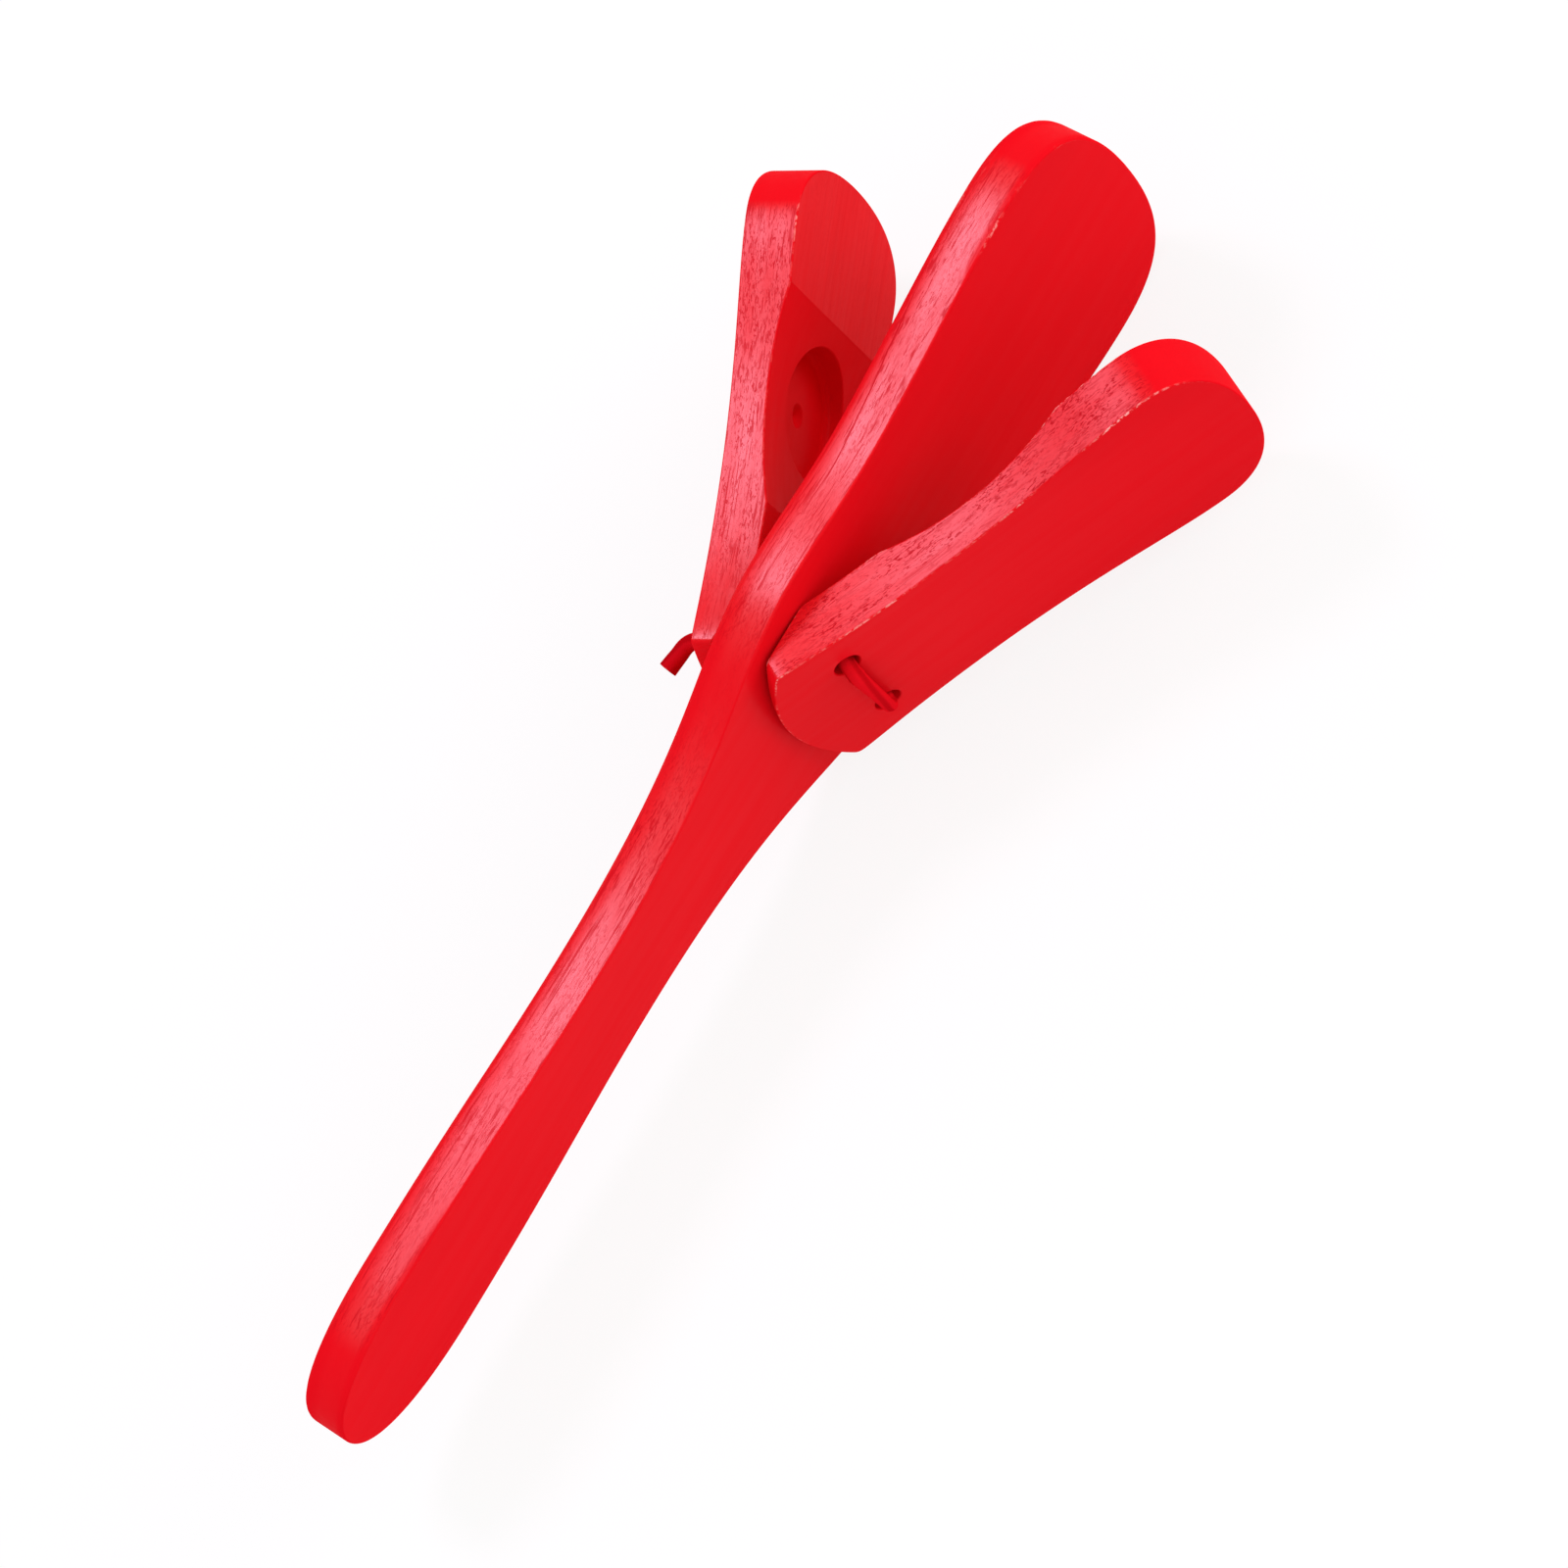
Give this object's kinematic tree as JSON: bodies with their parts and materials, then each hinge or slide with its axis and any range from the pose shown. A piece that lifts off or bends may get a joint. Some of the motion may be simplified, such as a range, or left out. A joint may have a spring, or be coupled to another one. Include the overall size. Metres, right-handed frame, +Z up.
{
  "type": "wooden clapper",
  "caption": "Handled wooden clapper: a flat centre board with a handle, and a scooped leaf tied by cord to each side of its head, swinging open and shut to clap.",
  "frame": {"origin": "on the surface under the middle of the object's box, with the clapper standing on its long edge as pictured", "axes": "+X from the handle to the head, +Y through the boards from the front leaf to the rear leaf, +Z up, across the boards and along both hinge axes"},
  "size_m": [0.2056, 0.0772, 0.0474],
  "materials": {
    "board_lacquer": "satin red lacquer over open-grained wood",
    "leaf_lacquer": "satin red lacquer over open-grained wood, worn along the edges",
    "cord": "tightly woven red cord with a slight sheen"
  },
  "bodies": {
    "paddle": {"paddle": "board_lacquer", "cord_upper_leg": "cord", "cord_lower_leg": "cord"},
    "front_leaf": {"front_leaf": "leaf_lacquer", "cord_front_loop": "cord"},
    "rear_leaf": {"rear_leaf": "leaf_lacquer", "cord_upper_strand": "cord", "cord_lower_strand": "cord"}
  },
  "joints": [
    {"name": "front_leaf_hinge", "type": "hinge", "parent": "paddle", "child": "front_leaf", "pos_m": [0.0258, -0.0041, 0.0237], "axis": [0, 0, -1], "range_deg": [-25.2, 3.2]},
    {"name": "rear_leaf_hinge", "type": "hinge", "parent": "paddle", "child": "rear_leaf", "pos_m": [0.0248, 0.0041, 0.0237], "axis": [0, 0, 1], "range_deg": [-25.2, 3.2]}
  ]
}
